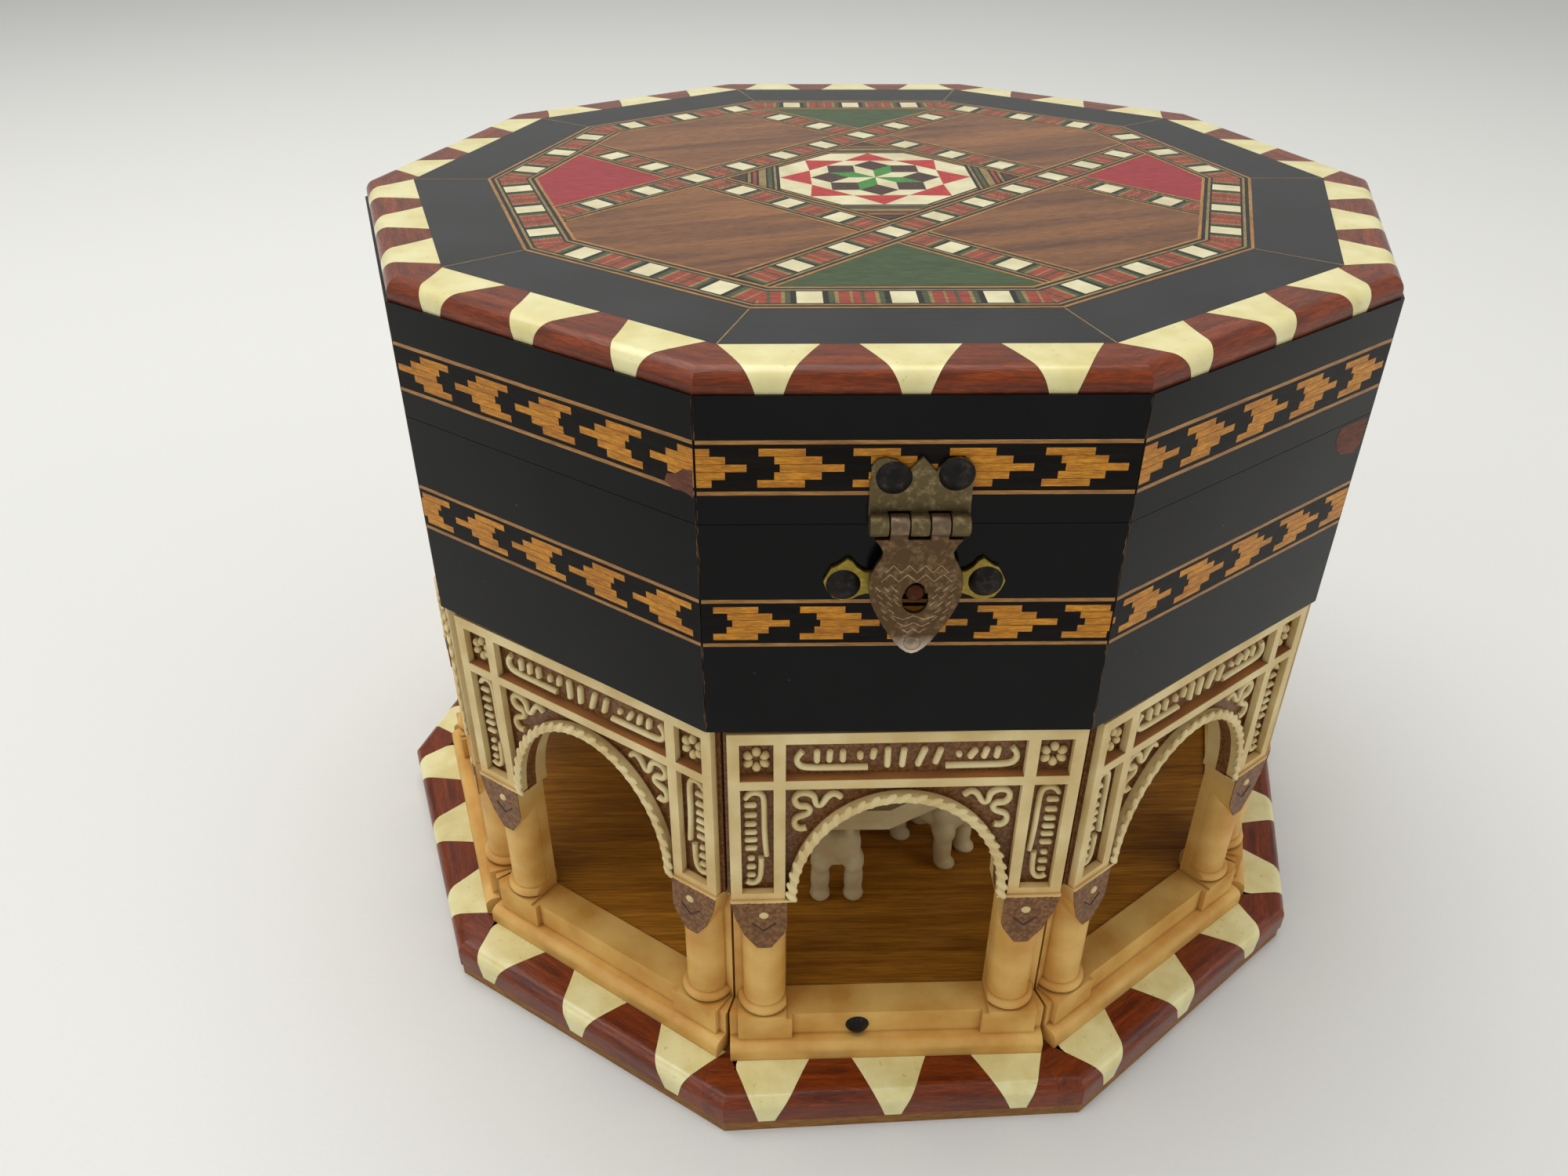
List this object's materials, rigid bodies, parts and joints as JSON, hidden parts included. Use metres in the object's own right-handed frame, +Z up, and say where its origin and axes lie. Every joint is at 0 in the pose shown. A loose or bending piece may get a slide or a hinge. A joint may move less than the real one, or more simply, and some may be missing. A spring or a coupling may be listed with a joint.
{
  "type": "inlaid wooden box",
  "caption": "Decagonal inlaid wooden box with a hinged marquetry lid and a hasp, raised on a moulded arcade around a lion fountain court.",
  "frame": {"origin": "centre of the base's underside", "axes": "+Z up, the clasp faces -Y, +X to the right of someone facing the clasp"},
  "size_m": [0.2358, 0.2274, 0.159],
  "materials": {
    "moulded_arcade": "cast resin, cream wash over brown recesses",
    "moulded_fountain": "cast resin, cream",
    "black_lacquer": "ebonised wood under glossy lacquer",
    "golden_pine": "golden brown board",
    "carcass_wood": "plain brown wood",
    "court_wood": "varnished golden brown wood",
    "bone_inlay": "ivory coloured, polished",
    "mahogany": "red brown wood, polished",
    "mosaic_inlay": "orange and black wood mosaic between light lines",
    "striped_marquetry": "striped wood mosaic",
    "walnut": "streaked walnut veneer",
    "green_veneer": "green dyed veneer",
    "red_veneer": "crimson dyed veneer",
    "star_marquetry": "star mosaic of green, ivory and red pieces",
    "yellow_brass": "yellow brass sheet",
    "bronze_tab": "bronze brown engraved sheet",
    "dark_nails": "dark domed heads",
    "antique_brass": "antique brass"
  },
  "bodies": {
    "box": {"bottom_board": "golden_pine", "base_plate": "carcass_wood", "base_rim_ivory": "bone_inlay", "base_rim_mahogany": "mahogany", "arcade_panel_01": "moulded_arcade", "arcade_panel_02": "moulded_arcade", "arcade_panel_03": "moulded_arcade", "arcade_panel_04": "moulded_arcade", "arcade_panel_05": "moulded_arcade", "arcade_panel_06": "moulded_arcade", "arcade_panel_07": "moulded_arcade", "arcade_panel_08": "moulded_arcade", "arcade_panel_09": "moulded_arcade", "arcade_panel_10": "moulded_arcade", "court_floor": "court_wood", "fountain_lions": "moulded_fountain", "fountain_basin": "moulded_fountain", "box_floor": "carcass_wood", "body_wall_01": "black_lacquer", "body_wall_02": "black_lacquer", "body_wall_03": "black_lacquer", "body_wall_04": "black_lacquer", "body_wall_05": "black_lacquer", "body_wall_06": "black_lacquer", "body_wall_07": "black_lacquer", "body_wall_08": "black_lacquer", "body_wall_09": "black_lacquer", "body_wall_10": "black_lacquer", "body_inlay_bands": "mosaic_inlay", "catch_plate": "yellow_brass", "hinge_leaves_body": "antique_brass", "hinge_pins": "antique_brass", "box_nails": "dark_nails"},
    "lid": {"lid_wall_01": "black_lacquer", "lid_wall_02": "black_lacquer", "lid_wall_03": "black_lacquer", "lid_wall_04": "black_lacquer", "lid_wall_05": "black_lacquer", "lid_wall_06": "black_lacquer", "lid_wall_07": "black_lacquer", "lid_wall_08": "black_lacquer", "lid_wall_09": "black_lacquer", "lid_wall_10": "black_lacquer", "lid_inlay_bands": "mosaic_inlay", "lid_top_board": "carcass_wood", "lid_rim_ivory": "bone_inlay", "lid_rim_mahogany": "mahogany", "lid_ebony_border": "black_lacquer", "marquetry_border": "striped_marquetry", "marquetry_straps": "striped_marquetry", "walnut_panels": "walnut", "green_panels": "green_veneer", "red_panels": "red_veneer", "star_rosette": "star_marquetry", "rosette_corners": "striped_marquetry", "hasp_plate": "antique_brass", "hasp_pin": "antique_brass", "hinge_leaves_lid": "antique_brass", "lid_nails": "dark_nails"},
    "hasp": {"hasp_tab": "bronze_tab"}
  },
  "joints": [
    {"name": "lid_hinge", "type": "hinge", "parent": "box", "child": "lid", "pos_m": [0, 0.1021, 0.13445], "axis": [-1, 0, 0], "range_deg": [0, 100]},
    {"name": "hasp_hinge", "type": "hinge", "parent": "lid", "child": "hasp", "pos_m": [0.0006, -0.10235, 0.13535], "axis": [-1, 0, 0], "range_deg": [0, 150]}
  ]
}
